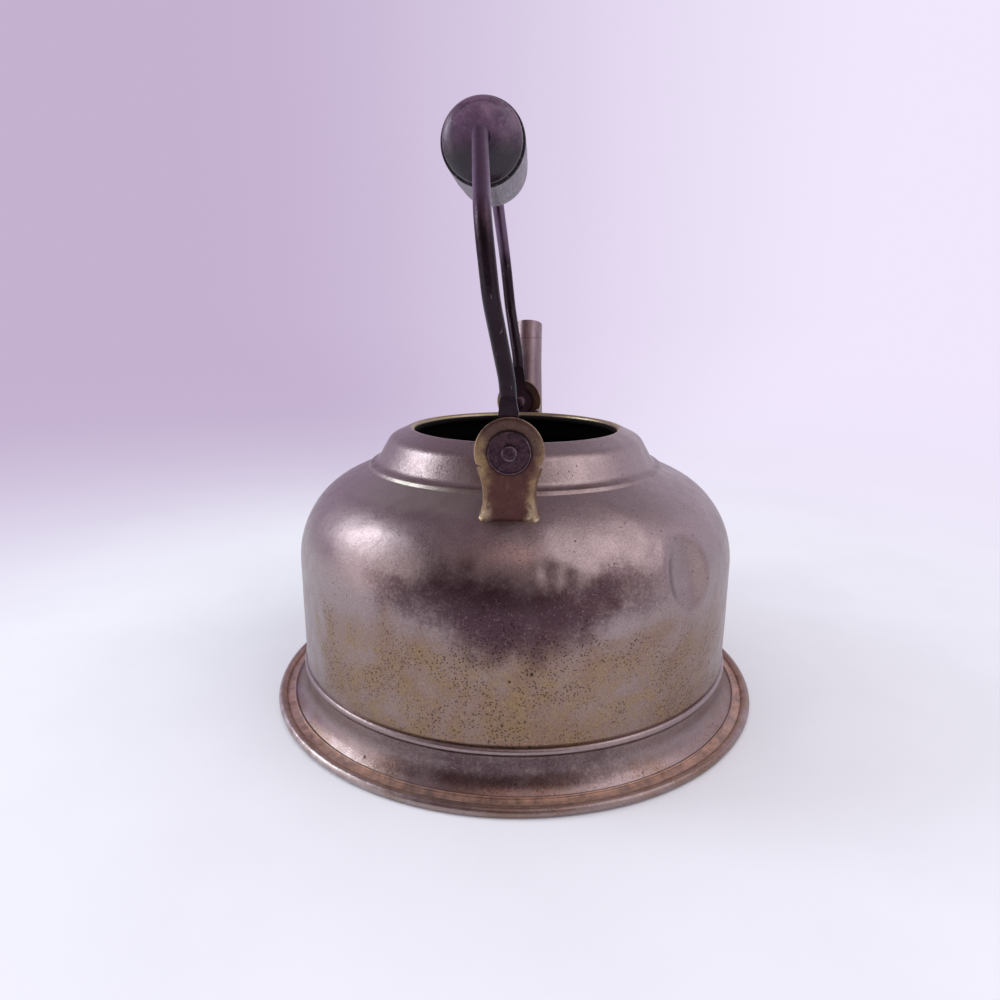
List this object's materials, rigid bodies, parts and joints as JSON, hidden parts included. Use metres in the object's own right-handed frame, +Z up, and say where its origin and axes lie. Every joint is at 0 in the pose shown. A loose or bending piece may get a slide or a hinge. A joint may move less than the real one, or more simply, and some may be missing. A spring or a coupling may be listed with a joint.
{
  "type": "tea kettle",
  "caption": "Small spun-metal tea kettle with a flared rolled foot, a curved tube spout, open mouth, and a wire bail with a turned grip that swings in ears.",
  "frame": {"origin": "middle of the ring that the foot stands on", "axes": "+Z up, +Y from the middle towards the spout, so the bail's pivots lie on a line along Y"},
  "size_m": [0.165, 0.1955, 0.1867],
  "materials": {
    "body_plate": "worn nickel plate over brass, pitted",
    "foot_plate": "worn nickel plate over brass",
    "pan_plate": "dull, heat-darkened",
    "spout_plate": "darkened nickel plate over brass",
    "ear_brass": "darkened brass, bright at the folds",
    "pivot_dark": "dark, worn bright at the rims",
    "bail_steel": "dark brown-black, worn",
    "steel_wire": "plain drawn wire",
    "grip_wood": "dark stained, semi-gloss"
  },
  "bodies": {
    "kettle": {"body_shell": "body_plate", "skirt_ring": "foot_plate", "skirt_wire": "steel_wire", "bottom_pan": "pan_plate", "spout": "spout_plate", "rear_ear": "ear_brass", "front_ear": "ear_brass", "rear_pivot_disc": "pivot_dark", "front_pivot_disc": "pivot_dark", "rear_rivet": "pivot_dark", "front_rivet": "pivot_dark"},
    "bail": {"bail_rod": "bail_steel"},
    "grip_turning": {"grip": "grip_wood"}
  },
  "joints": [
    {"name": "bail_swing", "type": "hinge", "parent": "kettle", "child": "bail", "pos_m": [0, 0, 0.0919], "axis": [0, 1, 0], "range_deg": [-94, 98]},
    {"name": "grip_spin", "type": "hinge", "parent": "bail", "child": "grip_turning", "pos_m": [-0.00935, 0, 0.17397], "axis": [-0.0038, 0.9994, 0.0331], "continuous": true}
  ]
}
